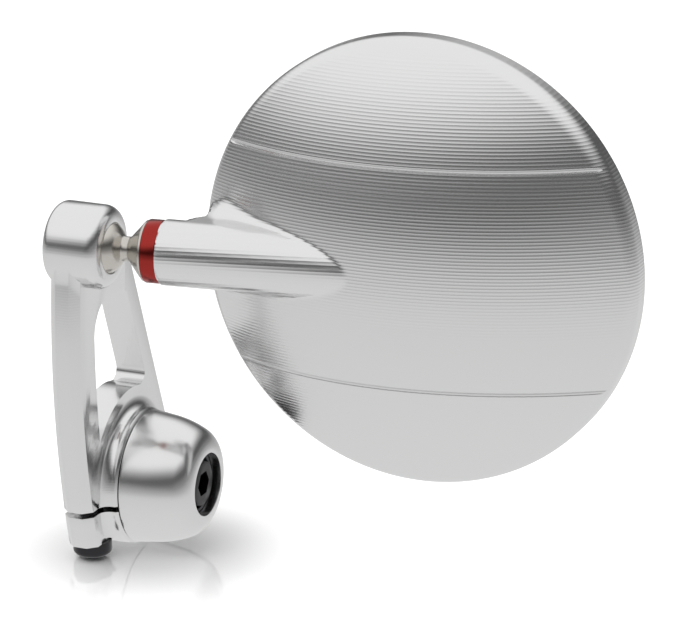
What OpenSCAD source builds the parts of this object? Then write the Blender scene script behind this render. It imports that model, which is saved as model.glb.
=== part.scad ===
// Motorcycle bar end mirror: a billet mirror head on a ball joint, a forked billet arm and a turned bar end.
// X runs outward along the handlebar's axis, Y to the rider and Z up. The origin lies on the bar's axis,
// at the face that abuts the handlebar. The mirror's glass faces the rider, +Y.

/* [Bar end] */
// Length of the spigot, from the handlebar's end to the shoulder of the dome
spigot_len = 10.8; // [9.5:0.1:15]
// Diameter of the spigot that the arm clamps
spigot_d = 17.6; // [15:0.1:18]
// Diameter of the dome at its shoulder
dome_d = 29.4; // [28:0.1:32]
// Length of the dome
dome_len = 15; // [13:0.1:20]
// Length of the dome's slightly tapered skirt
skirt_len = 5; // [3:0.1:7]
// Taper of the skirt, on the radius
skirt_taper = 0.6; // [0:0.1:1.5]
// Width of the flat land round the nose's counterbore
nose_land = 0.3; // [0.2:0.1:1.5]
// Diameter of the counterbore in the nose
nose_bore_d = 13.9; // [12.6:0.1:15]

/* [Bar end screw] */
// Thread diameter of the screw that holds the bar end
screw_d = 6; // [5:0.5:6]
// Diameter of the screw's shank between its head and its thread
screw_waist_d = 5.4; // [4.6:0.1:5.4]
// Head diameter of the screw
screw_head_d = 10; // [9:0.1:10.4]
// Height of the screw's head
screw_head_h = 6; // [4:0.1:7]
// Length of the screw under its head
screw_len = 25; // [22:1:32]
// How far the screw's head lies below the nose
screw_sink = 1.1; // [0.5:0.1:3]
// Hexagon socket of the screw, across flats
screw_hex = 5; // [4:0.5:6]
// Floor of the cup washer under the screw's head
washer_floor = 1; // [0.6:0.1:2]
// How far the cup washer's rim lies below the screw's head
washer_sink = 1.2; // [0.4:0.1:3]

/* [Arm] */
// Thickness of the arm
arm_t = 6.9; // [6:0.1:8]
// Gap between the arm and the handlebar's end
bar_gap = 0.4; // [0.2:0.1:1]
// Bevel along the outer edges of the front leg
front_bevel = 1.9; // [0.5:0.1:2.4]
// Bevel along the back of the rear leg
rear_bevel = 1; // [0.3:0.1:1.5]
// Distance of the arm's front face from the bar's axis, at the top
front_y = 26.3; // [25.6:0.1:28]
// Radius of the front face's bow
front_r = 180; // [150:5:300]
// Height at which the bow starts
bow_z = 38.5; // [34:0.5:46]
// Width of the front leg
front_leg_w = 8.8; // [7.5:0.1:10]
// Lean of the rear leg, in degrees
rear_lean = 22.7; // [18:0.1:26]
// Distance of the rear leg's back from the bar's axis
rear_d = 20.75; // [19.5:0.05:23]
// Width of the rear leg
rear_leg_w = 5.35; // [4:0.05:6.5]

/* [Window] */
// Radius of the window's floor about the bar's axis
floor_r = 19.7; // [18.8:0.1:21]
// Distance of the window's top edge from the bar's axis
top_d = 41.85; // [38:0.05:42.5]
// Slope of the window's top edge, in degrees
top_slope = 11.3; // [5:0.1:15]
// Corner radius at the window's floor
floor_corner_r = 2.3; // [1.5:0.1:3]
// Corner radius at the window's top, by the rear leg
rear_corner_r = 1.8; // [1.2:0.1:3]
// Corner radius at the window's top, by the front leg
front_corner_r = 8; // [4:0.1:8.5]

/* [Clamp ring] */
// Outer radius of the clamp ring
ring_r = 15.2; // [14.8:0.1:17]
// Radius of the collar that meets the dome
collar_r = 15; // [14.7:0.1:16]
// Radius of the fillet at the collar's root
collar_fillet = 2.4; // [1:0.1:2.8]
// Bevel at the collar's rim
collar_bevel = 0.5; // [0.2:0.1:1]
// Height of the slot's middle above the bar's axis
slot_z = -3.15; // [-5:0.05:-2]
// Width of the slot
slot_w = 1.3; // [0.8:0.1:1.6]
// Underside of the clamp lug below the bar's axis
lug_drop = 11.3; // [10.5:0.1:13]

/* [Pinch screw] */
// Thread diameter of the pinch screw
pinch_d = 5; // [4:0.5:5]
// Head diameter of the pinch screw
pinch_head_d = 8.5; // [7.5:0.1:9]
// Height of the pinch screw's head
pinch_head_h = 3.3; // [3:0.1:5]
// Length of the pinch screw under its head
pinch_len = 16; // [14:1:18]
// Hexagon socket of the pinch screw, across flats
pinch_hex = 4; // [3:0.5:4]
// Distance of the pinch screw from the bar's axis
pinch_y = 13; // [12.4:0.1:15]

/* [Ball socket] */
// Distance of the socket's axis in front of the bar's axis
head_y = 17.2; // [16.8:0.1:18]
// Height of the socket's axis above the bar's axis
head_z = 57.4; // [55:0.1:64]
// Outer diameter of the socket's barrel
head_d = 18.3; // [17.8:0.1:19]
// Length of the barrel
head_len = 13.1; // [12.8:0.1:15]
// How far the barrel stands out from the arm's outer face
head_out = 4.6; // [3.5:0.1:5]
// Radius of the barrel's outer edge
head_edge_r = 2.8; // [1:0.1:3]
// Radius of the barrel's inner edge
head_back_r = 2.2; // [0.5:0.1:2.6]
// Diameter of the ball
ball_d = 12.7; // [12:0.1:12.8]
// Depth of the ball's centre behind the socket's mouth
ball_depth = 3.4; // [3:0.1:4]
// Bevel at the socket's mouth
mouth_bevel = 0.15; // [0.1:0.05:0.5]
// Thickness of the adjuster plug
plug_t = 2.4; // [2:0.1:3]
// Hexagon socket of the plug, across flats
plug_hex = 6; // [5:0.5:8]
// Thickness of each disc spring
spring_t = 0.4; // [0.3:0.05:0.5]
// Dish of each disc spring
spring_dish = 0.15; // [0.1:0.05:0.2]

/* [Ball stud] */
// Diameter of the neck
neck_d = 5.4; // [4.6:0.1:6]
// Distance from the ball's centre to the cone
cone_at = 7.3; // [6.8:0.1:8]
// Distance from the ball's centre to the accent ring
ring_at = 11.2; // [10.6:0.1:13]
// Length of the flange's straight edge
flange_edge = 0.5; // [0.3:0.1:1]
// Diameter of the flange
flange_d = 13.2; // [12:0.1:14]
// Diameter of the shank in the stem
shank_d = 6; // [5:0.5:6]
// Length of the shank in the stem
shank_len = 15; // [10:1:20]

/* [Mirror head] */
// Width of the accent ring
accent_w = 3.3; // [2:0.1:5]
// Diameter of the accent ring
accent_d = 13.7; // [12.6:0.1:14]
// Diameter of the stem
stem_d = 14.2; // [13.8:0.1:15]
// Angle between the stem and the glass, in degrees
stem_angle = 7.1; // [5:0.1:9]
// Length of the stem from the accent ring to the edge of the mirror head
stem_len = 4.2; // [3:0.1:16]
// Offset of the rim's front edge from the stem's axis, at the middle of the mirror
rim_offset = 11.8; // [10:0.1:12.4]
// Diameter of the mirror head
housing_d = 98; // [90:1:100]
// Width of the rim
rim_w = 3; // [2.8:0.1:5]
// Radius of the shoulder between the rim and the dome
shoulder_r = 4.6; // [3:0.1:6]
// Radius of the domed back
back_r = 86; // [82:1:100]
// Wall of the domed back
wall = 3; // [2:0.1:4]
// Distance of the two grooves from the middle
groove_at = 24.2; // [18:0.1:30]
// Width of the grooves
groove_w = 1; // [0.6:0.1:1.6]
// Depth of the grooves
groove_depth = 0.4; // [0.2:0.05:0.6]
// Tilt of the grooves, in degrees
groove_tilt = 2; // [0:0.1:4]
// Width of the rim round the glass
rim_wall = 1.6; // [1.2:0.1:3]

/* [Glass] */
// Thickness of the glass at its edge
glass_t = 1.4; // [1:0.1:1.5]
// Radius of the convex glass
glass_r = 1200; // [1000:50:2000]
// Thickness of the adhesive pad
pad_t = 0.6; // [0.4:0.1:0.8]
// Depth of the recess that holds the glass
recess = 3; // [2.9:0.1:3.6]

/* [Clearances] */
// Running clearance of the clamp and the ball, on the radius
run_gap = 0.04; // [0.03:0.01:0.08]
// Clearance of parts that are screwed or dropped in, on the radius
loose_gap = 0.1; // [0.05:0.05:0.2]
// Gap between the collar and the dome
joint_gap = 0.1; // [0.1:0.05:0.3]

/* [Hidden] */
$fn = 96;
// more than any size of the part, for cutters
far = 400;
// bevel that breaks the sharp edges of small turned parts
edge_break = 0.2;

// arm, in the plane across the bar's axis
arm_x0 = bar_gap;
arm_x1 = arm_x0 + arm_t;
collar_x1 = spigot_len - joint_gap;
head = [-head_y, head_z];
bow = [front_r - front_y, bow_z];
leg_in_r = front_r - front_leg_w;
rear_n = [cos(rear_lean), sin(rear_lean)];
rear_in = rear_d - rear_leg_w;
top_n = [sin(top_slope), cos(top_slope)];
// the ring is drawn out towards the rear leg, so that its round end touches the leg's back
ring_draw = (rear_d - ring_r) / rear_n[0];
pinch_x = arm_x0 + arm_t / 2;
// rounded end of the rear leg beside the barrel
crown_r = 6;
crown_drop = 7.9;
crown_z = head_z - crown_drop;
crown = [(rear_d - crown_r - crown_z * rear_n[1]) / rear_n[0], crown_z];

// socket, along its own axis
head_r = head_d / 2;
head_x1 = arm_x1 + head_out;
head_x0 = head_x1 - head_len;
ball_r = ball_d / 2;
ball_x = head_x1 - ball_depth;
socket_r = ball_r + 0.25;
plug_x0 = head_x0 + 0.2;
spring_h = spring_t + spring_dish;
spring_x0 = plug_x0 + plug_t;
spring_x1 = spring_x0 + spring_h;
cup_x0 = spring_x1 + spring_h;
cup_back = 2.5;
cup_x1 = ball_x - cup_back;
cup_hole_r = 2.5;
spring_in_r = 3.4;
spring_out_r = socket_r - 0.3;
mouth_r = sqrt(pow(ball_r + run_gap, 2) - pow(ball_depth - mouth_bevel, 2));

// bar end
dome_x1 = spigot_len + dome_len;
nose_r = nose_bore_d / 2 + nose_land;
screw_top = dome_x1 - screw_sink;
washer_x1 = screw_top - washer_sink;
// the thread starts this far from the face that abuts the handlebar
thread_lead = 0.1;
washer_x0 = screw_top - screw_head_h - washer_floor;

// mirror head
housing_r = housing_d / 2;
stem_dir = [cos(stem_angle), sin(stem_angle), 0];
ball_at = [ball_x, -head_y, head_z];
stem_r = stem_d / 2;
stem_at = ring_at + accent_w;
reach = stem_at + stem_len + housing_r;
centre = ball_at + reach * stem_dir + [0, rim_offset, 0];
// the shoulder touches the domed back, and its middle lies at the rim's edge
back_z = rim_w - (sqrt(pow(back_r - shoulder_r, 2) - pow(housing_r - shoulder_r, 2)));
seat_r = housing_r - rim_wall;
glass_edge_r = seat_r - loose_gap;
// ledge that carries the glass, and the pocket inside it
ledge_w = 5.4;
pocket_r = seat_r - ledge_w;
pad_in = 0.4;
// film of glue on the pad
glue = 0.02;
stem_bevel = 0.4;
// the back of the glass meets the pad's face at its edge
glass_z = recess - pad_t + sqrt(pow(glass_r - glass_t, 2) - glass_edge_r * glass_edge_r);

// Point where two circles cross, on the side that s gives
function meet_cc(a, ra, b, rb, s) =
    let (d = norm(b - a), e = (b - a) / d, x = (d * d + ra * ra - rb * rb) / (2 * d))
    a + x * e + s * sqrt(ra * ra - x * x) * [-e[1], e[0]];
// Point of the line n * q = d at the distance r from c, on the side that s gives
function meet_lc(n, d, c, r, s) =
    let (x = d - n * c) c + x * n + s * sqrt(r * r - x * x) * [-n[1], n[0]];
// Point where two lines n * q = d cross
function meet_ll(n, d, m, e) =
    let (det = n[0] * m[1] - n[1] * m[0]) [(d * m[1] - e * n[1]) / det, (n[0] * e - m[0] * d) / det];
// Direction from a to b
function toward(a, b) = (b - a) / norm(b - a);
// Height of the back of the glass at the distance r from its middle
function glass_back(r) = glass_z - sqrt(pow(glass_r - glass_t, 2) - r * r);

// Window corners: the middle of each rounding, its radius, then the directions of its two sides
corner_a = meet_cc(bow, leg_in_r - floor_corner_r, [0, 0], floor_r + floor_corner_r, 1);
corner_b = meet_lc(rear_n, rear_in - floor_corner_r, [0, 0], floor_r + floor_corner_r, 1);
corner_c = meet_ll(rear_n, rear_in - rear_corner_r, top_n, top_d - rear_corner_r);
corner_d = meet_lc(top_n, top_d - front_corner_r, bow, leg_in_r - front_corner_r, 1);
corners = [
    [corner_a, floor_corner_r, toward(bow, corner_a), toward(corner_a, [0, 0])],
    [corner_b, floor_corner_r, toward(corner_b, [0, 0]), rear_n],
    [corner_c, rear_corner_r, rear_n, top_n],
    [corner_d, front_corner_r, top_n, toward(bow, corner_d)]
];

// Section of the dome: a tapered skirt and two arcs that run into each other, up to the nose
skirt_end = [dome_d / 2 - skirt_taper, skirt_len];
skirt_n = toward([0, 0], [skirt_len, skirt_taper]);
nose_edge = [nose_r, dome_len];
arc_b_r = 0.79 * (skirt_end[0] - nose_r);
arc_b = nose_edge - [0, arc_b_r];
arc_w = skirt_end - arc_b;
arc_a_r = (arc_w * arc_w - arc_b_r * arc_b_r) / (2 * (arc_w * skirt_n - arc_b_r));
arc_a = skirt_end - arc_a_r * skirt_n;
arc_meet = arc_a + arc_a_r * toward(arc_a, arc_b);

// Extrudes a drawing of the plane across the bar's axis from x0 to x1
module slab(x0, x1) {
    translate([x0, 0, 0]) rotate([90, 0, 90]) linear_extrude(x1 - x0) children();
}

// Turns a drawing of radius and distance about an axis along X
module turned(at = [0, 0]) {
    translate([0, at[0], at[1]]) rotate([90, 0, 90]) rotate_extrude() children();
}

// Cylinder along X from x0 to x1
module rod(at, x0, x1, r) {
    translate([x0, at[0], at[1]]) rotate([90, 0, 90]) cylinder(h = x1 - x0, r = r);
}

// Hexagon socket along X from x0 to x1, across flats
module hex_hole(at, x0, x1, flats) {
    translate([x0, at[0], at[1]]) rotate([90, 0, 90]) cylinder(h = x1 - x0, d = flats / cos(30), $fn = 6);
}

// What a rounding of the radius r takes off the corner at the top right of a drawing
module corner_off(at, r) {
    translate(at - [r, r]) difference() {
        square(r + 1);
        circle(r);
    }
}

// Places things along the stem, which runs along their X axis from the ball's centre
module along_stem() {
    translate(ball_at) rotate([0, 0, stem_angle]) children();
}

// Places things on the mirror head's axis, with Z to its back and the front of the rim at Z = 0
module on_head() {
    translate(centre) rotate([90, 0, 0]) children();
}

// Slice between an arc of the section and the core, out to the arc
module arc_slice(c, r, a, b) {
    intersection() {
        translate(c) circle(r, $fn = 180);
        polygon([[1, skirt_len], a, a + (a - c) / 5, b + (b - c) / 5, b]);
    }
}

module dome_section() {
    polygon([[0, 0], [dome_d / 2, 0], skirt_end, arc_meet, nose_edge, [0, dome_len]]);
    arc_slice(arc_a, arc_a_r, skirt_end, arc_meet);
    arc_slice(arc_b, arc_b_r, arc_meet, nose_edge);
}

// Turned aluminium: the dome, and the spigot that the arm clamps
module bar_end_dome() {
    color([0.8, 0.8, 0.8]) difference() {
        union() {
            turned() translate([0, spigot_len]) dome_section();
            rod([0, 0], 0, spigot_len + 1, spigot_d / 2);
        }
        rod([0, 0], washer_x0, dome_x1 + 1, nose_bore_d / 2);
        rod([0, 0], -1, washer_x0 + 1, screw_d / 2 + loose_gap);
    }
}

// Black socket screw that holds the bar end to the handlebar's expander; only its free end is threaded
module bar_end_screw() {
    head_under = screw_top - screw_head_h;
    screw_end = head_under - screw_len;
    color([0.1, 0.1, 0.1]) difference() {
        union() {
            turned() difference() {
                translate([0, head_under]) square([screw_head_d / 2, screw_head_h]);
                translate([screw_head_d / 2, screw_top]) rotate(45) square(2 * edge_break, center = true);
            }
            turned() difference() {
                translate([0, screw_end]) square([screw_d / 2, -thread_lead - screw_end]);
                translate([screw_d / 2, screw_end]) rotate(45) square(4 * edge_break, center = true);
            }
            rod([0, 0], -thread_lead - 1, head_under + 1, screw_waist_d / 2);
        }
        hex_hole([0, 0], screw_top - screw_head_h / 2, screw_top + 1, screw_hex);
    }
}

// Black cup washer round the screw's head
module cup_washer() {
    step = (washer_x1 - washer_x0) / 2;
    wall_mid = (nose_bore_d + screw_head_d) / 4;
    color([0.08, 0.08, 0.08]) turned() difference() {
        translate([screw_d / 2 + loose_gap, washer_x0])
            square([nose_bore_d / 2 - 2 * loose_gap - screw_d / 2, washer_x1 - washer_x0]);
        translate([0, washer_x0 + washer_floor]) square([screw_head_d / 2 + loose_gap, far]);
        translate([0, washer_x0 + step + washer_floor]) square([wall_mid, far]);
    }
}

// Outline of the arm in the plane across the bar's axis, still open in front
module arm_outline() {
    turn = acos((head_r - crown_r) / norm(head - crown));
    lift_a = atan2(head[1] - crown[1], head[0] - crown[0]) - turn;
    lift = [cos(lift_a), sin(lift_a)];
    open_y = -1.2 * front_y;
    circle(ring_r);
    translate([ring_draw, 0]) circle(ring_r);
    translate([0, -ring_r]) square([ring_draw, ring_r]);
    translate(crown) circle(crown_r);
    polygon([[open_y, -lug_drop], [-sqrt(ring_r * ring_r - lug_drop * lug_drop), -lug_drop], [0, 0],
             [ring_draw, 0], [ring_draw, 0] + ring_r * rear_n, crown + crown_r * rear_n, crown,
             crown + crown_r * lift, head + head_r * lift, head, [open_y, head_z]]);
}

// The window between the two legs
module window_outline() {
    base_z = floor_r / 3;
    difference() {
        intersection() {
            translate(bow) circle(leg_in_r, $fn = 720);
            polygon([[-far, base_z], meet_ll(rear_n, rear_in, [0, 1], base_z),
                     meet_ll(rear_n, rear_in, top_n, top_d), meet_ll([1, 0], -far, top_n, top_d)]);
        }
        circle(floor_r, $fn = 180);
        for (c = corners) difference() {
            polygon([c[0], c[0] + c[1] * c[2], c[0] + 1.6 * c[1] * (c[2] + c[3]) / (1 + c[2] * c[3]),
                     c[0] + c[1] * c[3]]);
            translate(c[0]) circle(c[1]);
        }
    }
}

// The plate: its bowed front face and its bevels come from one large turned disc
module arm_plate() {
    flat = rear_d - rear_bevel;
    intersection() {
        slab(arm_x0 - 1, arm_x1 + 1) arm_outline();
        turned(bow) polygon([[0, arm_x0], [front_r - front_bevel, arm_x0], [front_r, arm_x0 + front_bevel],
                             [front_r, arm_x1 - front_bevel], [front_r - front_bevel, arm_x1], [0, arm_x1]],
                            $fn = 720);
        rotate([rear_lean, 0, 0]) translate([0, 0, -far / 2]) linear_extrude(far)
            polygon([[arm_x0 - arm_t, -far / 2], [arm_x0 - arm_t, flat - arm_t],
                     [arm_x0 + rear_bevel + 1, rear_d + 1], [arm_x1 - rear_bevel - 1, rear_d + 1],
                     [arm_x1 + arm_t, flat - arm_t], [arm_x1 + arm_t, -far / 2]]);
    }
}

// Barrel of the ball socket, rounded at both ends
module barrel() {
    turned(head) difference() {
        translate([0, head_x0]) square([head_r, head_len]);
        corner_off([head_r, head_x1], head_edge_r);
        mirror([0, 1]) corner_off([head_r, -head_x0], head_back_r);
    }
}

// Collar that meets the dome, with a fillet at its root where the plate is wider
module collar() {
    root = arm_x1 - 1;
    turned() difference() {
        translate([0, root]) square([collar_r, collar_x1 - root]);
        translate([collar_r, collar_x1]) rotate(45) square(sqrt(2) * collar_bevel, center = true);
    }
    intersection() {
        slab(root, collar_x1) arm_outline();
        turned() difference() {
            translate([collar_r - 1, root]) square([collar_fillet + 1, collar_fillet + 1]);
            translate([collar_r + collar_fillet, arm_x1 + collar_fillet]) circle(collar_fillet);
        }
    }
}

// Section of the socket: a bore from behind, a spherical seat, and a bevelled mouth in front
module socket_section() {
    seat_x1 = head_x1 - mouth_bevel;
    translate([0, head_x0 - 1]) square([socket_r, ball_x + 1 - head_x0]);
    intersection() {
        translate([0, ball_x]) circle(ball_r + run_gap);
        translate([0, ball_x - 1]) square([ball_r + 1, seat_x1 + 1 - ball_x]);
    }
    polygon([[0, seat_x1 - 1], [mouth_r - 1, seat_x1 - 1], [mouth_r, seat_x1],
             [mouth_r + mouth_bevel + 1, head_x1 + 1], [0, head_x1 + 1]]);
}

// Milled aluminium arm: clamp ring, two legs, and the barrel of the ball socket
module arm() {
    spot_r = pinch_head_d / 2 + 3 * loose_gap;
    color([0.78, 0.78, 0.78]) difference() {
        union() {
            arm_plate();
            barrel();
            collar();
        }
        slab(arm_x0 - 1, arm_x1 + 1) window_outline();
        rod([0, 0], -far, far, spigot_d / 2 + run_gap);
        translate([-far / 2, -far, slot_z - slot_w / 2]) cube([far, far, slot_w]);
        translate([pinch_x, -pinch_y, -lug_drop - far]) cylinder(h = far, r = spot_r);
        translate([pinch_x, -pinch_y, -lug_drop - 1])
            cylinder(h = pinch_len + 2, r = pinch_d / 2 + loose_gap);
        turned(head) socket_section();
    }
}

// Black socket screw that pinches the clamp ring, from below
module pinch_screw() {
    color([0.08, 0.08, 0.08]) translate([pinch_x, -pinch_y, -lug_drop]) difference() {
        rotate_extrude() difference() {
            union() {
                translate([0, -pinch_head_h]) square([pinch_head_d / 2, pinch_head_h]);
                square([pinch_d / 2, pinch_len]);
            }
            mirror([0, 1]) corner_off([pinch_head_d / 2, pinch_head_h], 4 * edge_break);
        }
        translate([0, 0, -pinch_head_h - 1]) cylinder(h = pinch_head_h / 2 + 1, d = pinch_hex / cos(30), $fn = 6);
    }
}

// Threaded plug that sets the ball's friction
module adjuster_plug() {
    color([0.25, 0.25, 0.25]) difference() {
        rod(head, plug_x0, plug_x0 + plug_t, socket_r - run_gap);
        hex_hole(head, plug_x0 - 1, plug_x0 + plug_t + 1, plug_hex);
    }
}

// Dished ring; the side that s gives rises towards the rim
module disc_spring(x, s) {
    low = s > 0 ? 0 : spring_dish;
    color([0.5, 0.5, 0.52]) turned(head) polygon([[spring_in_r, x + low], [spring_out_r, x + spring_dish - low],
        [spring_out_r, x + spring_dish - low + spring_t], [spring_in_r, x + low + spring_t]]);
}

module outer_disc_spring() {
    disc_spring(spring_x0, 1);
}

module inner_disc_spring() {
    disc_spring(spring_x1, -1);
}

// Plastic cup that the disc springs press against the ball
module thrust_cup() {
    color([0.85, 0.85, 0.8]) turned(head) difference() {
        translate([cup_hole_r, cup_x0]) square([socket_r - run_gap - cup_hole_r, cup_x1 - cup_x0]);
        translate([0, ball_x]) circle(ball_r + run_gap);
    }
}

// Steel ball stud: ball, neck, cone, and the shank that is screwed into the stem
module ball_stud() {
    color([0.6, 0.6, 0.58]) along_stem() turned() {
        intersection() {
            circle(ball_r);
            translate([0, -ball_d]) square(2 * ball_d);
        }
        polygon([[0, 0], [neck_d / 2, 0], [neck_d / 2, cone_at], [flange_d / 2, ring_at - flange_edge],
                 [flange_d / 2, ring_at], [shank_d / 2, ring_at], [shank_d / 2, ring_at + shank_len],
                 [0, ring_at + shank_len]]);
    }
}

// Red anodised ring between the stud and the stem
module accent_ring() {
    color([0.6, 0.12, 0.12]) along_stem() turned() difference() {
        translate([shank_d / 2 + loose_gap, ring_at]) square([(accent_d - shank_d) / 2 - loose_gap, accent_w]);
        translate([accent_d / 2, ring_at]) rotate(45) square(2 * edge_break, center = true);
        translate([accent_d / 2, stem_at]) rotate(45) square(2 * edge_break, center = true);
    }
}

// Section of the mirror head's outside: rim, shoulder and domed back
module head_section() {
    middle = [housing_r - shoulder_r, rim_w];
    meet = [0, back_z] + back_r * toward([0, back_z], middle);
    square([housing_r, rim_w]);
    intersection() {
        translate(middle) circle(shoulder_r);
        square([housing_r, far]);
    }
    intersection() {
        translate([0, back_z]) circle(back_r, $fn = 360);
        polygon([[0, 0], [middle[0], 0], middle, meet + (meet - middle) / 2, [0, back_z + back_r + 1]]);
    }
}

// Groove over the domed back, at the distance v from the middle
module back_groove(v) {
    on_head() translate([0, 0, back_z]) rotate([90, 0, groove_tilt]) rotate_extrude($fn = 360)
        translate([sqrt(back_r * back_r - v * v), -v]) polygon([[-groove_depth, -groove_w / 4],
            [1, -groove_w], [1, groove_w], [-groove_depth, groove_w / 4]]);
}

// Machined aluminium mirror head with its stem
module mirror_housing() {
    flank = stem_d * 0.85;
    web_x0 = reach - housing_r + shoulder_r / 2;
    color([0.8, 0.8, 0.8]) difference() {
        union() {
            on_head() rotate_extrude($fn = 180) head_section();
            along_stem() {
                turned() polygon([[0, stem_at], [stem_r - stem_bevel, stem_at],
                                  [stem_r, stem_at + stem_bevel], [stem_r, reach], [0, reach]]);
                translate([web_x0, 0, -stem_r]) cube([housing_r / 2, flank, stem_d]);
            }
        }
        along_stem() rod([0, 0], stem_at - 1, ring_at + shank_len + 1, shank_d / 2 + run_gap);
        on_head() translate([0, 0, -far]) cylinder(h = far + recess, r = seat_r, $fn = 180);
        on_head() rotate_extrude($fn = 180) intersection() {
            translate([0, back_z]) circle(back_r - wall, $fn = 360);
            translate([0, recess - 1]) square([pocket_r, far]);
        }
        back_groove(groove_at);
        back_groove(-groove_at);
    }
}

// Foam ring that bonds the glass to the ledge; its front follows the back of the glass
module glass_pad() {
    in_r = pocket_r + pad_in;
    out_r = glass_edge_r;
    color([0.15, 0.15, 0.15]) on_head() rotate_extrude($fn = 180)
        polygon([[in_r, glass_back(in_r) + glue], [out_r, glass_back(out_r) + glue], [out_r, recess],
                 [in_r, recess]]);
}

// Convex mirror glass of an even thickness
module mirror_glass() {
    color([0.7, 0.75, 0.8]) on_head() rotate_extrude($fn = 180) difference() {
        intersection() {
            translate([0, glass_z]) circle(glass_r, $fn = 3600);
            square([glass_edge_r, recess]);
        }
        translate([0, glass_z]) circle(glass_r - glass_t, $fn = 3600);
    }
}

bar_end_dome();
bar_end_screw();
cup_washer();
arm();
pinch_screw();
adjuster_plug();
outer_disc_spring();
inner_disc_spring();
thrust_cup();
ball_stud();
accent_ring();
mirror_housing();
glass_pad();
mirror_glass();
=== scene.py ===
import math
import bpy
import numpy as np
from mathutils import Matrix, Vector


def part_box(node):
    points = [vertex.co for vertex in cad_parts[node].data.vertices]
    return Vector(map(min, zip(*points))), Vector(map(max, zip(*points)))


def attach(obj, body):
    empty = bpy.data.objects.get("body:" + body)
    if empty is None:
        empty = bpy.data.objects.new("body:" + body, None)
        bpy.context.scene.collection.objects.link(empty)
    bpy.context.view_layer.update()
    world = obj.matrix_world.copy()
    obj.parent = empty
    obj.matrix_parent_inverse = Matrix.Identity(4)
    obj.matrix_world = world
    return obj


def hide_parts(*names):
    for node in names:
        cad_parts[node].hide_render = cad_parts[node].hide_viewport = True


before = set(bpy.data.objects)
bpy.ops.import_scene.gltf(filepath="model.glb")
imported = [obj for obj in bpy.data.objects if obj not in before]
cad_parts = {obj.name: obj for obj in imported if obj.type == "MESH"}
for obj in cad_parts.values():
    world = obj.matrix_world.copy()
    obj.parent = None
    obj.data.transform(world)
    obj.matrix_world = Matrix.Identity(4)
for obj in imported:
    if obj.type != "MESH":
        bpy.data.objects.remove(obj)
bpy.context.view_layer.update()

# The room: a white table, a bright ceiling and a darker strip of room round the horizon. The camera stands
# low in front of the outboard end, as far off as a long lens asks for.
scene = bpy.context.scene
scene.view_settings.view_transform = "Standard"
TURN, RISE, DISTANCE = math.radians(22.82), math.radians(18.29), 1.0460
TARGET = Vector((0.05743, 0.0, 0.04236))
look = bpy.data.cameras.new("camera")
look.lens, look.sensor_width = 258.2, 36.0
camera = bpy.data.objects.new("camera", look)
scene.collection.objects.link(camera)
toward_camera = Vector((math.sin(TURN) * math.cos(RISE), -math.cos(TURN) * math.cos(RISE), math.sin(RISE)))
camera.location = TARGET + DISTANCE * toward_camera
camera.rotation_euler = toward_camera.to_track_quat("Z", "Y").to_euler()
scene.camera = camera


def node_in(tree, kind, **values):
    """Adds a shader node, sets its plain values, and returns it."""
    made = tree.nodes.new(kind)
    for name, value in values.items():
        if name.startswith("in_"):
            key = name[3:].replace("_", " ")
            key = int(key) if key.isdigit() else key
            made.inputs[key].default_value = value
        else:
            setattr(made, name, value)
    return made


def ramp_in(tree, stops, ease="EASE"):
    """A colour ramp with stops of (place, grey or colour)."""
    made = node_in(tree, "ShaderNodeValToRGB")
    made.color_ramp.interpolation = ease
    points = made.color_ramp.elements
    while len(points) < len(stops):
        points.new(0.5)
    for point, (place, tone) in zip(points, stops):
        point.position = place
        point.color = (tone, tone, tone, 1.0) if isinstance(tone, float) else tone
    return made


world = bpy.data.worlds.new("room")
scene.world = world
world.use_nodes = True
sky = world.node_tree
sky.nodes.clear()
ray = node_in(sky, "ShaderNodeTexCoord")
split = node_in(sky, "ShaderNodeSeparateXYZ")
sky.links.new(ray.outputs["Generated"], split.inputs[0])
# the ceiling's light reaches further down on the left, so the dark strip is narrower there
lift = node_in(sky, "ShaderNodeMapRange", in_From_Min=-1.0, in_From_Max=0.6, in_To_Min=0.29, in_To_Max=-0.11)
sky.links.new(split.outputs["X"], lift.inputs["Value"])
above = node_in(sky, "ShaderNodeMapRange", interpolation_type="SMOOTHSTEP", in_From_Min=0.0, in_From_Max=0.17)
sky.links.new(split.outputs["Z"], above.inputs["Value"])
raised = node_in(sky, "ShaderNodeMath", operation="MULTIPLY_ADD")
sky.links.new(lift.outputs[0], raised.inputs[0])
sky.links.new(above.outputs[0], raised.inputs[1])
sky.links.new(split.outputs["Z"], raised.inputs[2])
height = node_in(sky, "ShaderNodeMapRange", in_From_Min=-1.0, in_From_Max=1.0)
sky.links.new(raised.outputs[0], height.inputs["Value"])
# height of the ray, from straight down at 0 to straight up at 1; the horizon is 0.5
room_tone = ramp_in(sky, [((math.sin(math.radians(rise)) + 1) / 2, tone) for rise, tone in (
    (-90, 0.80), (-18, 0.74), (-11, 0.52), (-5, 0.42), (1, 0.26), (6, 0.12), (15, 0.09), (20, 0.20), (26, 0.38),
    (32, 0.64), (37, 0.86), (44, 0.98), (90, 0.98))], "LINEAR")
sky.links.new(height.outputs[0], room_tone.inputs[0])
room_light = node_in(sky, "ShaderNodeBackground", in_Strength=1.0)
sky.links.new(room_tone.outputs[0], room_light.inputs["Color"])
seen = node_in(sky, "ShaderNodeBackground", in_Color=(1.0, 1.0, 1.0, 1.0), in_Strength=1.0)
path = node_in(sky, "ShaderNodeLightPath")
pick = node_in(sky, "ShaderNodeMixShader")
sky.links.new(path.outputs["Is Camera Ray"], pick.inputs[0])
sky.links.new(room_light.outputs[0], pick.inputs[1])
sky.links.new(seen.outputs[0], pick.inputs[2])
sky.links.new(pick.outputs[0], node_in(sky, "ShaderNodeOutputWorld").inputs[0])

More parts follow.
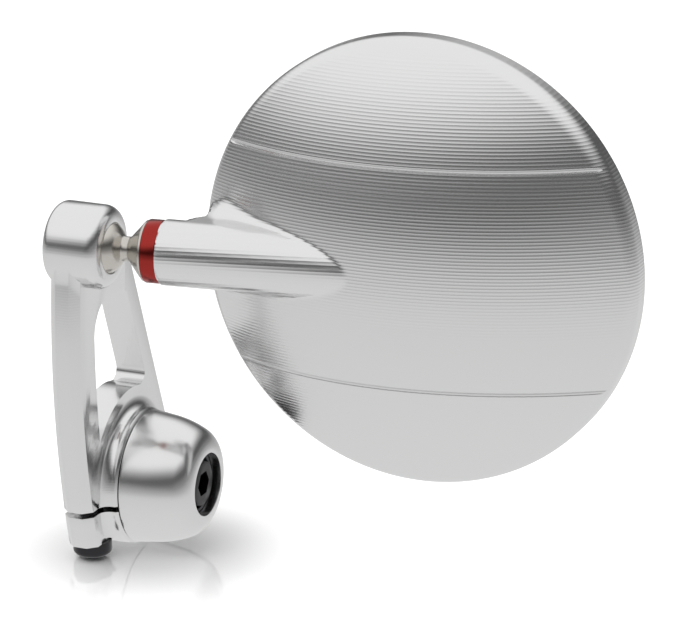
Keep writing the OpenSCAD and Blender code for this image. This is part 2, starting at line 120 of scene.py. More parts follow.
# The table: a glossy white board just under the pinch screw, which is the lowest point of the part. A shadow lies on it
# round the part's foot, partly cast and partly painted shade, where the table's glow is turned down.
# painted shade: near FOOT_AT the table's glow is turned down, from nothing inside the first distance to TABLE_GLOW
# beyond the second, in metres
FLOOR_GAP, FOOT_AT, PAINTED_SHADOW_FROM, PAINTED_SHADOW_TO, TABLE_GLOW = 0.0002, (0.012, -0.006), 0.010, 0.048, 0.55
FLOOR_Z = min(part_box(node)[0].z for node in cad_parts) - FLOOR_GAP
bpy.ops.object.select_all(action="DESELECT")
bpy.ops.mesh.primitive_plane_add(size=6.0, location=(0.0, 0.0, 0.0))
floor = bpy.context.object
floor.name = "floor"
floor.data.transform(Matrix.Translation((0.0, 0.0, FLOOR_Z)))
paint = bpy.data.materials.new("white_table")
paint.use_nodes = True
tree = paint.node_tree
gloss = tree.nodes["Principled BSDF"]
gloss.inputs["Base Color"].default_value = (0.95, 0.95, 0.95, 1.0)
gloss.inputs["Roughness"].default_value = 0.08
gloss.inputs["Specular IOR Level"].default_value = 1.0
gloss.inputs["Coat Weight"].default_value = 0.6
gloss.inputs["Coat Roughness"].default_value = 0.06
glow = node_in(tree, "ShaderNodeEmission", in_Color=(1.0, 1.0, 1.0, 1.0))
# painted light and shade: the table glows white away from the part's foot, which washes out cast shadows there such as
# the disc's, and glows less at the foot, a painted shadow round it on top of the cast one
spot_at = node_in(tree, "ShaderNodeTexCoord")
foot = node_in(tree, "ShaderNodeVectorMath", operation="DISTANCE", in_1=(*FOOT_AT, FLOOR_Z))
tree.links.new(spot_at.outputs["Object"], foot.inputs[0])
# painted shadow: the glow's strength rises with the distance from the foot
painted_shadow_fade = node_in(tree, "ShaderNodeMapRange", interpolation_type="SMOOTHSTEP", in_From_Min=PAINTED_SHADOW_FROM,
               in_From_Max=PAINTED_SHADOW_TO, in_To_Min=0.0, in_To_Max=TABLE_GLOW)
tree.links.new(foot.outputs["Value"], painted_shadow_fade.inputs["Value"])
tree.links.new(painted_shadow_fade.outputs[0], glow.inputs["Strength"])
both = node_in(tree, "ShaderNodeAddShader")
tree.links.new(gloss.outputs[0], both.inputs[0])
tree.links.new(glow.outputs[0], both.inputs[1])
# only the camera sees the table: what the metal shows below the horizon is the room's own tone
table_path = node_in(tree, "ShaderNodeLightPath")
table_pick = node_in(tree, "ShaderNodeMixShader")
tree.links.new(table_path.outputs["Is Camera Ray"], table_pick.inputs[0])
tree.links.new(node_in(tree, "ShaderNodeBsdfTransparent").outputs[0], table_pick.inputs[1])
tree.links.new(both.outputs[0], table_pick.inputs[2])
tree.links.new(table_pick.outputs[0], tree.nodes["Material Output"].inputs["Surface"])
floor.data.materials.append(paint)

# The lamp: a broad soft light above and behind the camera's left shoulder. It casts the shadow on the table,
# and the metal doesn't mirror it.
LAMP_AT = Vector((-0.35, -0.55, 1.15))
lamp = bpy.data.lights.new("soft_light", "AREA")
lamp.shape, lamp.size, lamp.size_y, lamp.energy = "RECTANGLE", 1.0, 0.8, 6.0
soft_light = bpy.data.objects.new("soft_light", lamp)
scene.collection.objects.link(soft_light)
soft_light.location = LAMP_AT
soft_light.rotation_euler = (LAMP_AT - TARGET).to_track_quat("Z", "Y").to_euler()
soft_light.visible_glossy = False

# Bar end: one turned piece of aluminium. The dome is finished in the lathe with a fine feed, and the
# spigot behind it goes through the arm's clamp ring. Its nose is counterbored for the screw.
MM = 0.001


def lathe(name, profile, facets=192, closed=True):
    """Turns a profile of (distance along X, radius), in millimetres, by drawing each ring out from the last."""
    bpy.ops.object.select_all(action="DESELECT")
    x0, r0 = profile[0]
    bpy.ops.mesh.primitive_circle_add(vertices=facets, radius=r0 * MM, rotation=(0.0, math.pi / 2, 0.0),
                                      location=(x0 * MM, 0.0, 0.0))
    made = bpy.context.object
    made.name = name
    bpy.ops.object.transform_apply(location=True, rotation=True, scale=True)
    bpy.ops.object.mode_set(mode="EDIT")
    bpy.ops.mesh.select_all(action="SELECT")
    last_x, last_r = x0, r0
    for x, r in profile[1:] + (profile[:1] if closed else []):
        bpy.ops.mesh.extrude_edges_move(TRANSFORM_OT_translate={"value": ((x - last_x) * MM, 0.0, 0.0)})
        bpy.ops.transform.resize(value=(1.0, r / last_r, r / last_r), center_override=(x * MM, 0.0, 0.0))
        last_x, last_r = x, r
    if not closed:
        bpy.ops.mesh.edge_face_add()
        bpy.ops.mesh.select_all(action="DESELECT")
        bpy.ops.mesh.select_non_manifold(extend=False, use_wire=False, use_multi_face=False,
                                         use_non_contiguous=False, use_verts=False)
        bpy.ops.mesh.edge_face_add()
    bpy.ops.mesh.select_all(action="SELECT")
    bpy.ops.mesh.remove_doubles(threshold=1e-6)
    bpy.ops.mesh.normals_make_consistent(inside=False)
    bpy.ops.object.mode_set(mode="OBJECT")
    return made


def soften(piece, angle=32.0):
    """Smooths the shading over edges blunter than the angle, in degrees."""
    bpy.ops.object.select_all(action="DESELECT")
    piece.select_set(True)
    bpy.context.view_layer.objects.active = piece
    bpy.ops.object.shade_smooth_by_angle(angle=math.radians(angle))


def arc(centre, radius, start, end, steps):
    """Points of an arc about (x, r), from one angle to the other, in degrees from +X towards +r."""
    turn = [math.radians(start + (end - start) * i / steps) for i in range(steps + 1)]
    return [(centre[0] + radius * math.cos(t), centre[1] + radius * math.sin(t)) for t in turn]


# the dome's side is two arcs: a wide one from the skirt, which leans inwards a little, and a small one to the nose
NOSE_X, NOSE_R, SKIRT, FULLNESS = 25.8, 7.25, (15.8, 14.1), 0.79
SPIGOT_R, COUNTERBORE_R, SEAT_X, SCREW_HOLE_R = 8.8, 6.95, 17.7, 3.1
nose_arc_r = FULLNESS * (SKIRT[1] - NOSE_R)
nose_arc = (NOSE_X - nose_arc_r, NOSE_R)
skirt_n = Vector((0.6, 5.0)).normalized()
gap = Vector((SKIRT[0] - nose_arc[0], SKIRT[1] - nose_arc[1]))
side_arc_r = (gap.dot(gap) - nose_arc_r ** 2) / (2 * (gap.dot(skirt_n) - nose_arc_r))
side_arc = (SKIRT[0] - side_arc_r * skirt_n.x, SKIRT[1] - side_arc_r * skirt_n.y)
meet = math.degrees(math.atan2(nose_arc[1] - side_arc[1], nose_arc[0] - side_arc[0]))
skirt_a = math.degrees(math.atan2(skirt_n.y, skirt_n.x))
dome_profile = ([(0.4, SPIGOT_R), (10.8, SPIGOT_R), (10.8, 14.3), (11.05, 14.62), (11.5, 14.66)]
                + arc(side_arc, side_arc_r, skirt_a, meet, 22) + arc(nose_arc, nose_arc_r, meet, 0.0, 20)[1:]
                + [(NOSE_X, 7.05), (25.72, 6.97), (25.5, COUNTERBORE_R), (SEAT_X, COUNTERBORE_R),
                   (SEAT_X, SCREW_HOLE_R), (0.0, SCREW_HOLE_R), (0.0, 8.4)])
dome = lathe("bar_end_dome_turned", dome_profile)
soften(dome)


def effect(name, sockets_in, sockets_out):
    """An empty shader node group with its inputs and outputs made."""
    made = bpy.data.node_groups.new(name, "ShaderNodeTree")
    for label, value in sockets_in:
        socket = made.interface.new_socket(name=label, in_out="INPUT", socket_type="NodeSocketFloat")
        socket.default_value = value
    for label, kind in sockets_out:
        made.interface.new_socket(name=label, in_out="OUTPUT", socket_type=kind)
    return made


# Marks that a tool leaves in metal: fine parallel lines, a little uneven, with a faint mottle under them.
marks = effect("tool_marks", [("Pitch mm", 0.5), ("Depth", 0.2), ("Unevenness", 0.4), ("Mottle", 0.05)],
               [("Height", "NodeSocketFloat"), ("Mask", "NodeSocketFloat")])
marks.interface.new_socket(name="Vector", in_out="INPUT", socket_type="NodeSocketVector")
entry, leave = node_in(marks, "NodeGroupInput"), node_in(marks, "NodeGroupOutput")
per_m = node_in(marks, "ShaderNodeMath", operation="DIVIDE", in_0=1000.0)
marks.links.new(entry.outputs["Pitch mm"], per_m.inputs[1])
parts = node_in(marks, "ShaderNodeSeparateXYZ")
marks.links.new(entry.outputs["Vector"], parts.inputs[0])
wobble = node_in(marks, "ShaderNodeTexNoise", in_Scale=90.0, in_Detail=2.0)
marks.links.new(entry.outputs["Vector"], wobble.inputs["Vector"])
lines_at = node_in(marks, "ShaderNodeMath", operation="MULTIPLY")
marks.links.new(parts.outputs["X"], lines_at.inputs[0])
marks.links.new(per_m.outputs[0], lines_at.inputs[1])
shifted = node_in(marks, "ShaderNodeMath", operation="MULTIPLY_ADD", in_1=0.05)
marks.links.new(wobble.outputs["Fac"], shifted.inputs[0])
marks.links.new(lines_at.outputs[0], shifted.inputs[2])
around = node_in(marks, "ShaderNodeMath", operation="MULTIPLY", in_1=math.pi)
marks.links.new(shifted.outputs[0], around.inputs[0])
swing = node_in(marks, "ShaderNodeMath", operation="SINE")
marks.links.new(around.outputs[0], swing.inputs[0])
wave = node_in(marks, "ShaderNodeMath", operation="ABSOLUTE")
marks.links.new(swing.outputs[0], wave.inputs[0])
streak_at = node_in(marks, "ShaderNodeCombineXYZ")
marks.links.new(lines_at.outputs[0], streak_at.inputs["X"])
streak = node_in(marks, "ShaderNodeTexNoise", in_Scale=1.3, in_Detail=3.0)
marks.links.new(streak_at.outputs[0], streak.inputs["Vector"])
uneven = node_in(marks, "ShaderNodeMath", operation="MULTIPLY")
marks.links.new(streak.outputs["Fac"], uneven.inputs[0])
marks.links.new(entry.outputs["Unevenness"], uneven.inputs[1])
ridge = node_in(marks, "ShaderNodeMath", operation="MULTIPLY_ADD", in_1=-0.5)
marks.links.new(wave.outputs[0], ridge.inputs[0])
marks.links.new(uneven.outputs[0], ridge.inputs[2])
deep = node_in(marks, "ShaderNodeMath", operation="MULTIPLY")
marks.links.new(ridge.outputs[0], deep.inputs[0])
marks.links.new(entry.outputs["Depth"], deep.inputs[1])
mottle = node_in(marks, "ShaderNodeTexNoise", in_Scale=900.0, in_Detail=3.0)
marks.links.new(entry.outputs["Vector"], mottle.inputs["Vector"])
grainy = node_in(marks, "ShaderNodeMath", operation="MULTIPLY")
marks.links.new(mottle.outputs["Fac"], grainy.inputs[0])
marks.links.new(entry.outputs["Mottle"], grainy.inputs[1])
total = node_in(marks, "ShaderNodeMath", operation="ADD")
marks.links.new(deep.outputs[0], total.inputs[0])
marks.links.new(grainy.outputs[0], total.inputs[1])
marks.links.new(total.outputs[0], leave.inputs["Height"])
marks.links.new(streak.outputs["Fac"], leave.inputs["Mask"])


def metal(name, colour, rough, turn=(0.0, 0.0, 0.0), centre=(0.0, 0.0, 0.0), pitch=0.4, depth=0.2,
          uneven=0.4, mottle=0.05, bump=0.00002, rough_swing=0.06):
    """A bare or anodised metal whose tool marks run across the turned X axis."""
    made = bpy.data.materials.new(name)
    made.use_nodes = True
    net = made.node_tree
    skin = net.nodes["Principled BSDF"]
    skin.inputs["Metallic"].default_value = 1.0
    place = node_in(net, "ShaderNodeTexCoord")
    lay = node_in(net, "ShaderNodeMapping", vector_type="TEXTURE")
    lay.inputs["Location"].default_value = centre
    lay.inputs["Rotation"].default_value = turn
    net.links.new(place.outputs["Object"], lay.inputs["Vector"])
    tool = node_in(net, "ShaderNodeGroup", node_tree=marks)
    tool.inputs["Pitch mm"].default_value = pitch
    tool.inputs["Depth"].default_value = depth
    tool.inputs["Unevenness"].default_value = uneven
    tool.inputs["Mottle"].default_value = mottle
    net.links.new(lay.outputs[0], tool.inputs["Vector"])
    relief = node_in(net, "ShaderNodeBump", in_Strength=1.0, in_Distance=bump)
    net.links.new(tool.outputs["Height"], relief.inputs["Height"])
    net.links.new(relief.outputs[0], skin.inputs["Normal"])
    rougher = node_in(net, "ShaderNodeMapRange", in_To_Min=rough - rough_swing, in_To_Max=rough + rough_swing)
    net.links.new(tool.outputs["Mask"], rougher.inputs["Value"])
    net.links.new(rougher.outputs[0], skin.inputs["Roughness"])
    tint = node_in(net, "ShaderNodeMix", data_type="RGBA")
    for socket in tint.inputs:
        if socket.name in "AB" and socket.type == "RGBA":
            shade = 0.95 if socket.name == "A" else 1.0
            socket.default_value = [c * shade for c in colour] + [1.0]
    net.links.new(tool.outputs["Mask"], tint.inputs[0])
    net.links.new([s for s in tint.outputs if s.type == "RGBA"][0], skin.inputs["Base Color"])
    return made


def dress(piece, finish):
    """Gives a piece or a CAD node one finish all over."""
    piece.data.materials.clear()
    piece.data.materials.append(finish)
    for face in piece.data.polygons:
        face.material_index = 0


turned_aluminium = metal("turned_aluminium", (0.80, 0.80, 0.80), 0.20, pitch=0.15, depth=0.05, uneven=0.6,
                         mottle=0.006, bump=0.00002)
dress(dome, turned_aluminium)
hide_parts("bar_end_dome")
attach(dome, "bar_end")

# Bar end screw: a long socket screw of black oxide steel, which draws the handlebar's expander. A stepped,
# blackened cup washer lies under its head.
def socket_hex(piece, at, reach, flats, axis):
    """Cuts a hexagon socket into a piece with a broach, centred at a place and `reach` millimetres long."""
    bpy.ops.object.select_all(action="DESELECT")
    turn = (0.0, math.pi / 2, 0.0) if axis == "X" else (0.0, 0.0, 0.0)
    bpy.ops.mesh.primitive_cylinder_add(vertices=6, radius=flats / math.sqrt(3) * MM, depth=reach * MM,
                                        location=[c * MM for c in at], rotation=turn)
    broach = bpy.context.object
    cut = piece.modifiers.new("socket", "BOOLEAN")
    cut.operation, cut.object, cut.solver = "DIFFERENCE", broach, "EXACT"
    bpy.context.view_layer.objects.active = piece
    bpy.ops.object.modifier_apply(modifier=cut.name)
    bpy.data.objects.remove(broach)


HEAD_TOP_X, HEAD_SEAT_X = 24.7, 18.7
long_screw = lathe("bar_end_screw_turned", [(HEAD_TOP_X, 4.55), (24.62, 4.8), (24.35, 5.0), (18.75, 5.0),
                   (HEAD_SEAT_X, 4.9), (HEAD_SEAT_X, 2.7), (-0.1, 2.7), (-0.1, 3.0), (-5.73, 3.0), (-6.3, 2.43)],
                   facets=96, closed=False)
socket_hex(long_screw, (HEAD_TOP_X - 1.0, 0.0, 0.0), reach=4.0, flats=5.0, axis="X")
soften(long_screw, 28.0)
black_oxide = metal("black_oxide", (0.045, 0.045, 0.048), 0.34, pitch=0.25, depth=0.1, mottle=0.1,
                    bump=0.00001)
dress(long_screw, black_oxide)
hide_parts("bar_end_screw")
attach(long_screw, "bar_end")

washer = lathe("cup_washer_turned", [(23.5, 6.75), (23.4, 6.85), (SEAT_X, 6.85), (SEAT_X, SCREW_HOLE_R),
               (HEAD_SEAT_X, SCREW_HOLE_R), (HEAD_SEAT_X, 5.1), (21.55, 5.1), (21.6, 5.15), (21.6, 5.92),
               (21.65, 5.975), (23.42, 5.975), (23.5, 6.05)], facets=128)
soften(washer)
dress(washer, black_oxide)
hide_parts("cup_washer")
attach(washer, "bar_end")

# Arm: milled from one aluminium plate and anodised clear. Two legs join the clamp ring to the barrel
# that holds the ball. The cutter leaves a small bevel on each edge.
EDGE_BEVEL = 0.22
cad_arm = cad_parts["arm"]
arm = bpy.data.objects.new("arm_milled", cad_arm.data.copy())
scene.collection.objects.link(arm)
bpy.ops.object.select_all(action="DESELECT")
arm.select_set(True)
bpy.context.view_layer.objects.active = arm
bpy.ops.object.mode_set(mode="EDIT")
bpy.ops.mesh.select_all(action="SELECT")
bpy.ops.mesh.remove_doubles(threshold=2e-6)
bpy.ops.mesh.dissolve_limited(angle_limit=math.radians(0.3))
bpy.ops.object.mode_set(mode="OBJECT")
ease = arm.modifiers.new("edge", "BEVEL")
ease.width, ease.segments, ease.limit_method, ease.angle_limit = EDGE_BEVEL * MM, 2, "ANGLE", math.radians(28)
bpy.ops.object.modifier_apply(modifier=ease.name)
soften(arm, 26.0)
milled_aluminium = metal("milled_aluminium", (0.80, 0.80, 0.80), 0.18, turn=(0.0, math.pi / 2, 0.0), pitch=0.6,
                         depth=0.2, uneven=0.4, mottle=0.008, bump=0.00002)
dress(arm, milled_aluminium)
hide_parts("arm")
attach(arm, "clamped_arm")

# Pinch screw: the short socket screw of black oxide steel. It is run in from below through the lug beside the
# slot, and its rounded head is what the part stands on.
PINCH_AT, PINCH_TOP = (3.85, -13.0), 14.6
pinch_profile = [(-4.7, 2.2), (-4.4, 2.5), (11.3, 2.5), (11.3, 4.25), (13.5, 4.25), (13.9, 4.17), (14.25, 3.92),
                 (14.48, 3.6), (PINCH_TOP, 3.1)]
pinch = lathe("pinch_screw_turned", pinch_profile, facets=96, closed=False)
pinch.data.transform(Matrix.Translation((PINCH_AT[0] * MM, PINCH_AT[1] * MM, 0.0))
                     @ Matrix.Rotation(math.pi / 2, 4, "Y"))
socket_hex(pinch, (*PINCH_AT, -PINCH_TOP), reach=3.4, flats=4.0, axis="Z")
soften(pinch, 28.0)
dress(pinch, black_oxide)
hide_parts("pinch_screw")
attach(pinch, "clamped_arm")

# Inside the barrel a threaded plug presses two disc springs and a plastic cup against the ball. They are
# plain turned and stamped parts, so the CAD solids stay and take their finishes.
springs_steel = metal("spring_steel", (0.45, 0.45, 0.46), 0.3, mottle=0.1)
plug_steel = metal("plug_steel", (0.16, 0.16, 0.165), 0.36, mottle=0.1)
dress(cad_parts["adjuster_plug"], plug_steel)
dress(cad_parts["outer_disc_spring"], springs_steel)
dress(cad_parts["inner_disc_spring"], springs_steel)
acetal = bpy.data.materials.new("acetal")
acetal.use_nodes = True
plastic = acetal.node_tree
plastic.nodes["Principled BSDF"].inputs["Roughness"].default_value = 0.45
specks = node_in(plastic, "ShaderNodeTexNoise", in_Scale=400.0)
cloudy = ramp_in(plastic, [(0.3, (0.80, 0.79, 0.75, 1.0)), (0.7, (0.87, 0.86, 0.82, 1.0))])
plastic.links.new(specks.outputs["Fac"], cloudy.inputs[0])
plastic.links.new(cloudy.outputs[0], plastic.nodes["Principled BSDF"].inputs["Base Color"])
dress(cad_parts["thrust_cup"], acetal)

# Ball stud: turned steel, plated. Ball, waisted neck and cone are one piece with the threaded shank, which is
# screwed into the head's stem.
BALL_AT = (8.5, -17.2, 57.4)
BALL = Vector(BALL_AT) * MM
STEM_TURN = math.radians(7.1)
on_stem = Matrix.Translation(BALL) @ Matrix.Rotation(STEM_TURN, 4, "Z")
ball_r, neck_r = 6.35, 2.7
neck_at = math.degrees(math.asin((neck_r + 0.35) / ball_r))
stud_profile = (arc((0.0, 0.0), ball_r, 178.0, neck_at, 60)
                + [(5.75, 2.82), (6.05, 2.71), (6.4, neck_r), (7.0, neck_r), (7.3, 2.76), (7.5, 2.92), (10.4, 6.27),
                   (10.62, 6.5), (10.75, 6.58), (11.1, 6.6), (11.2, 6.5), (11.2, 3.0), (25.9, 3.0), (26.2, 2.7)])
stud = lathe("ball_stud_turned", stud_profile, facets=128, closed=False)
stud.data.transform(on_stem)
soften(stud)
plated_steel = metal("plated_steel", (0.62, 0.595, 0.555), 0.2, turn=(0.0, 0.0, STEM_TURN),
                     centre=tuple(BALL), pitch=0.3, depth=0.12, uneven=0.8, mottle=0.03, bump=0.00001)
dress(stud, plated_steel)
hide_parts("ball_stud")
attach(stud, "stud")

# Accent ring: a turned aluminium spacer, anodised red. It slips over the shank and is clamped between the
# stud's flange and the stem.
STEM_FROM = 14.5
ring = lathe("accent_ring_turned", [(11.22, 3.1), (11.22, 6.7), (11.3, 6.8), (11.42, 6.85), (14.28, 6.85),
             (14.42, 6.8), (STEM_FROM, 6.7), (STEM_FROM, 3.1)], facets=128)
ring.data.transform(on_stem)
soften(ring)
red_anodised = metal("red_anodised", (0.36, 0.035, 0.03), 0.16, turn=(0.0, 0.0, STEM_TURN),
                     centre=tuple(BALL), pitch=0.25, depth=0.1, uneven=0.7, mottle=0.03, bump=0.00001)
dress(ring, red_anodised)
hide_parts("accent_ring")
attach(ring, "head")

# Mirror head: machined from one aluminium block, stem and all. A ball-nosed cutter shaped the domed back in
# parallel passes, two grooves were cut across it, and the front was turned out for the glass.
REACH, RIM_OFFSET = 67.7, 11.8
RIM_R, RIM_W, CORNER_R, BACK_R, WALL_T = 49.0, 3.0, 4.6, 86.0, 3.0
STEM_R, STEM_BEVEL, STEM_STOP = 7.1, 0.4, 3.0
WEB_INSET, WEB_SLANT, WEB_SLANT_FROM, WEB_END = 0.1, 0.25, 3.0, 45.0
# radius of the fillet along the stem, by the distance from the head's middle, and of its run-off at the rim
ROOT_AT, ROOT_R = (-44.0, -39.0, -33.0, -25.0, -18.0, -12.0), (5.5, 3.8, 1.9, 0.9, 0.8, 1.2)
RUN_OFF_R = 6.0
# middle of the rim's front, in millimetres
HEAD = Vector((BALL_AT[0] + REACH * math.cos(STEM_TURN), BALL_AT[1] + REACH * math.sin(STEM_TURN) + RIM_OFFSET,
               BALL_AT[2]))
back_h = RIM_W - math.sqrt((BACK_R - CORNER_R) ** 2 - (RIM_R - CORNER_R) ** 2)
on_head = Matrix.Translation(HEAD * MM) @ Matrix.Rotation(-math.pi / 2, 4, "Z")


def blend_in(first, second, radius, lean=0.0):
    """Joins two shapes, given as distances whose normals have the cosine `lean`, with a rolled fillet."""
    a, b = radius - first, radius - second
    fillet = radius - np.sqrt(np.maximum(a * a + b * b - 2 * lean * a * b, 0) / np.maximum(1 - lean * lean, 1e-4))
    return np.where((a > lean * b) & (b > lean * a) & (np.maximum(a, b) > 0), fillet, np.minimum(first, second))


def by_stem(points):
    """Places of points from the ball, in millimetres: along the stem, aside towards the rider, and up."""
    rel = points - np.array(BALL) / MM
    return (rel[:, 0] * math.cos(STEM_TURN) + rel[:, 1] * math.sin(STEM_TURN),
            -rel[:, 0] * math.sin(STEM_TURN) + rel[:, 1] * math.cos(STEM_TURN), rel[:, 2])


def head_surface(p):
    """Distance of points, in millimetres, from the outside of the head: under 0 inside it."""
    off = p - np.array(HEAD)
    out, high = np.hypot(off[:, 0], off[:, 2]), -off[:, 1]
    corner_c, slope = RIM_R - CORNER_R, math.atan2(RIM_W - back_h, RIM_R - CORNER_R)
    on_back = np.arctan2(high - back_h, out) > slope
    rim = np.where(high > RIM_W, np.hypot(out - corner_c, high - RIM_W) - CORNER_R, out - RIM_R)
    rim = np.where((out < corner_c) & ~on_back, -CORNER_R, rim)
    ball = np.hypot(out, high - back_h)
    back = np.where(on_back, ball - BACK_R, rim)
    along, aside, up = by_stem(p)
    round_r = np.hypot(aside, up)
    end_bevel = np.clip(STEM_FROM + STEM_BEVEL - along, 0.0, STEM_BEVEL)
    stem = np.maximum(round_r - STEM_R + end_bevel, along - REACH + STEM_STOP)
    # under the stem a web of the same width joins it to the back; its end slants in from the rim
    web_end = out - RIM_R + WEB_INSET + WEB_SLANT * np.maximum(aside - WEB_SLANT_FROM, 0)
    web = np.maximum.reduce([np.abs(up) - STEM_R, web_end, -aside, along - WEB_END])
    root = np.interp(off[:, 0], ROOT_AT, ROOT_R)
    # the fillet runs off over a softer shoulder than the rim's own
    over, beside = ball - BACK_R + RUN_OFF_R, out - RIM_R + RUN_OFF_R
    ground = np.where((over > 0) & (beside > 0), np.hypot(over, beside), np.maximum(over, beside)) - RUN_OFF_R
    # cosine between the normals of the stem or the web and of the back or the rim's wall
    on_web = (aside > 0) & (out < RIM_R)
    flank = np.where(on_web, 1.0, np.abs(up) / np.maximum(round_r, 1.0)) * np.abs(off[:, 2])
    top = np.where(on_web, 0.0, -aside / np.maximum(round_r, 1.0)) * (high - back_h)
    back_part, rim_part = np.maximum(over, 1e-6), np.maximum(beside, 1e-6)
    lean = ((flank + top) / ball * back_part + flank / np.maximum(out, 1.0) * rim_part) / np.hypot(back_part, rim_part)
    flare = blend_in(ground, np.minimum(stem, web), root, np.clip(lean, 0.0, 0.999))
    return np.minimum(np.minimum(back, stem), flare)


# the block: a roughed-out head, stem and web, made one skin, which is then drawn onto the finished surface
back_profile = [(-2.0, RIM_R), (RIM_W, RIM_R), (5.0, 48.2), (6.8, 46.9)]
back_profile += [(back_h + math.sqrt(BACK_R ** 2 - r * r), r) for r in (42.0, 36.0, 30.0, 24.0, 18.0, 12.0, 6.0, 1.0)]
head = lathe("mirror_head_milled", back_profile, facets=128, closed=False)
head.data.transform(on_head)
rough_stem = lathe("rough_stem", [(13.0, STEM_R), (REACH, STEM_R)], facets=64, closed=False)
rough_stem.data.transform(on_stem)
bpy.ops.object.select_all(action="DESELECT")
bpy.ops.mesh.primitive_cube_add(size=1.0, location=(0.0, 0.0, 0.0))
rough_web = bpy.context.object
rough_web.data.transform(on_stem @ Matrix.Translation(Vector((35.0, 5.5, 0.0)) * MM)
                         @ Matrix.Diagonal(Vector((27.0 * MM, 11.0 * MM, 9.8 * MM, 1.0))))
for rough in (head, rough_stem, rough_web):
    rough.select_set(True)
bpy.context.view_layer.objects.active = head
bpy.ops.object.join()
SKIN_STEP, NUDGE, LONGEST_PULL = 0.55, 0.01, 0.5
block = head.modifiers.new("block", "REMESH")
block.mode, block.voxel_size = "VOXEL", SKIN_STEP * MM
bpy.ops.object.modifier_apply(modifier=block.name)

skin_at = np.zeros(len(head.data.vertices) * 3)
head.data.vertices.foreach_get("co", skin_at)
skin_at = skin_at.reshape(-1, 3) / MM
# the waste in front of the rim and at the stem's end stays rough, because the two cuts below take it off
kept = (HEAD.y - skin_at[:, 1] > -1.4) & (by_stem(skin_at)[0] > STEM_FROM - 0.9)
spot = skin_at[kept]
for _ in range(12):
    miss = np.clip(head_surface(spot), -LONGEST_PULL, LONGEST_PULL)
    slope = np.stack([head_surface(spot + step) - head_surface(spot - step)
                      for step in np.eye(3) * NUDGE], axis=1) / (2 * NUDGE)
    spot = spot - miss[:, None] * slope / np.maximum((slope ** 2).sum(1), 0.2)[:, None]
skin_at[kept] = spot
head.data.vertices.foreach_set("co", (skin_at * MM).ravel())
head.data.update()

bpy.ops.object.select_all(action="DESELECT")
head.select_set(True)
bpy.context.view_layer.objects.active = head
bpy.ops.object.mode_set(mode="EDIT")
bpy.ops.mesh.select_all(action="SELECT")
bpy.ops.mesh.bisect(plane_co=HEAD * MM, plane_no=(0.0, 1.0, 0.0), use_fill=True, clear_outer=True)
bpy.ops.mesh.select_all(action="SELECT")
stem_end = on_stem @ Vector((STEM_FROM * MM, 0.0, 0.0))
bpy.ops.mesh.bisect(plane_co=stem_end, plane_no=on_stem.to_3x3() @ Vector((-1.0, 0.0, 0.0)), use_fill=True,
                    clear_outer=True)
bpy.ops.object.mode_set(mode="OBJECT")


def cut_with(piece, cutter):
    """Cuts one mesh out of another and throws the cutter away."""
    cut = piece.modifiers.new("cut", "BOOLEAN")
    cut.operation, cut.object, cut.solver = "DIFFERENCE", cutter, "EXACT"
    bpy.ops.object.select_all(action="DESELECT")
    piece.select_set(True)
    bpy.context.view_layer.objects.active = piece
    bpy.ops.object.modifier_apply(modifier=cut.name)
    bpy.data.objects.remove(cutter)


pocket_profile = [(-1.0, 47.4), (3.0, 47.4), (3.0, 42.0)]
pocket_profile += [(back_h + math.sqrt((BACK_R - WALL_T) ** 2 - r * r), r) for r in (42.0, 36.0, 28.0, 20.0, 12.0, 1.0)]
pocket = lathe("pocket", pocket_profile, facets=192, closed=False)
pocket.data.transform(on_head)
cut_with(head, pocket)
shank_hole = lathe("shank_hole", [(13.0, 3.04), (27.2, 3.04)], facets=48, closed=False)
shank_hole.data.transform(on_stem)
cut_with(head, shank_hole)
# the grooves run parallel to the cutter's passes, which lie a little turned from level
GROOVE_AT, GROOVE_DEPTH, GROOVE_FLOOR, GROOVE_FLARE, PASS_TURN = 24.2, 0.4, 0.28, 0.95, 2.0
for side in (GROOVE_AT, -GROOVE_AT):
    skin_r = math.sqrt(BACK_R ** 2 - side ** 2)
    groove = lathe("groove", [(side - GROOVE_FLOOR, skin_r - GROOVE_DEPTH), (side - GROOVE_FLARE, skin_r + 1.0),
                              (side + GROOVE_FLARE, skin_r + 1.0), (side + GROOVE_FLOOR, skin_r - GROOVE_DEPTH)],
                   facets=900)
    groove.data.transform(Matrix.Translation((HEAD + Vector((0.0, -back_h, 0.0))) * MM)
                          @ Matrix.Rotation(math.radians(-90.0 - PASS_TURN), 4, "Y"))
    cut_with(head, groove)
soften(head, 30.0)
milled_back = metal("milled_back", (0.80, 0.80, 0.80), 0.20, turn=(0.0, math.radians(90.0 - PASS_TURN), 0.0),
                    pitch=0.71, depth=0.6, uneven=0.25, mottle=0.01, bump=0.00006)
dress(head, milled_back)
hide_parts("mirror_housing")
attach(head, "head")

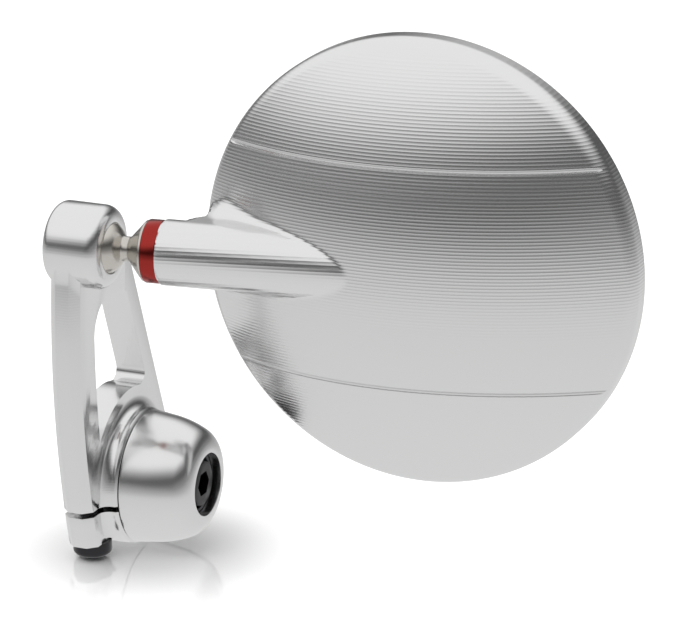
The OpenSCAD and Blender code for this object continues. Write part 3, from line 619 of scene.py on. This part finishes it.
# Glass: a convex disc, silvered on its back and bonded to a ledge in the head with a ring of foam tape. Its
# front lies just below the rim, and the edge is ground.
GLASS_BEND, GLASS_T, GLASS_SUNK = 1200.0, 1.4, 0.07
sag = [(GLASS_BEND - math.sqrt(GLASS_BEND ** 2 - r * r), r) for r in (0.5, 6.0, 12.0, 18.0, 24.0, 30.0, 36.0, 42.0)]
glass_profile = [(GLASS_SUNK + drop, r) for drop, r in sag] + [(0.998, 47.2), (1.09, 47.3), (2.32, 47.3), (2.4, 47.2)]
glass_profile += [(GLASS_SUNK + GLASS_T + drop, r) for drop, r in reversed(sag)]
glass = lathe("convex_glass", glass_profile, closed=False)
glass.data.transform(on_head)
soften(glass)
silvered = bpy.data.materials.new("silvered_glass")
silvered.use_nodes = True
silver = silvered.node_tree
shine = silver.nodes["Principled BSDF"]
shine.inputs["Metallic"].default_value = 1.0
haze = node_in(silver, "ShaderNodeTexNoise", in_Scale=60.0, in_Detail=4.0)
clean = ramp_in(silver, [(0.0, 0.015), (1.0, 0.045)])
silver.links.new(haze.outputs["Fac"], clean.inputs[0])
silver.links.new(clean.outputs[0], shine.inputs["Roughness"])
tinge = ramp_in(silver, [(0.0, (0.86, 0.89, 0.90, 1.0)), (1.0, (0.88, 0.90, 0.91, 1.0))])
silver.links.new(haze.outputs["Fac"], tinge.inputs[0])
silver.links.new(tinge.outputs[0], shine.inputs["Base Color"])
dress(glass, silvered)
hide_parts("mirror_glass")
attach(glass, "head")

# Foam tape: a black ring, sticky on both sides, between the glass and its ledge in the head. It is soft and
# hardly seen, so the CAD solid stays and takes its finish.
foam = bpy.data.materials.new("foam_tape")
foam.use_nodes = True
tape = foam.node_tree
tape.nodes["Principled BSDF"].inputs["Roughness"].default_value = 0.8
cells = node_in(tape, "ShaderNodeTexVoronoi", in_Scale=3000.0)
foam_tone = ramp_in(tape, [(0.0, 0.05), (1.0, 0.09)])
tape.links.new(cells.outputs["Distance"], foam_tone.inputs[0])
tape.links.new(foam_tone.outputs[0], tape.nodes["Principled BSDF"].inputs["Base Color"])
dress(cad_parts["glass_pad"], foam)
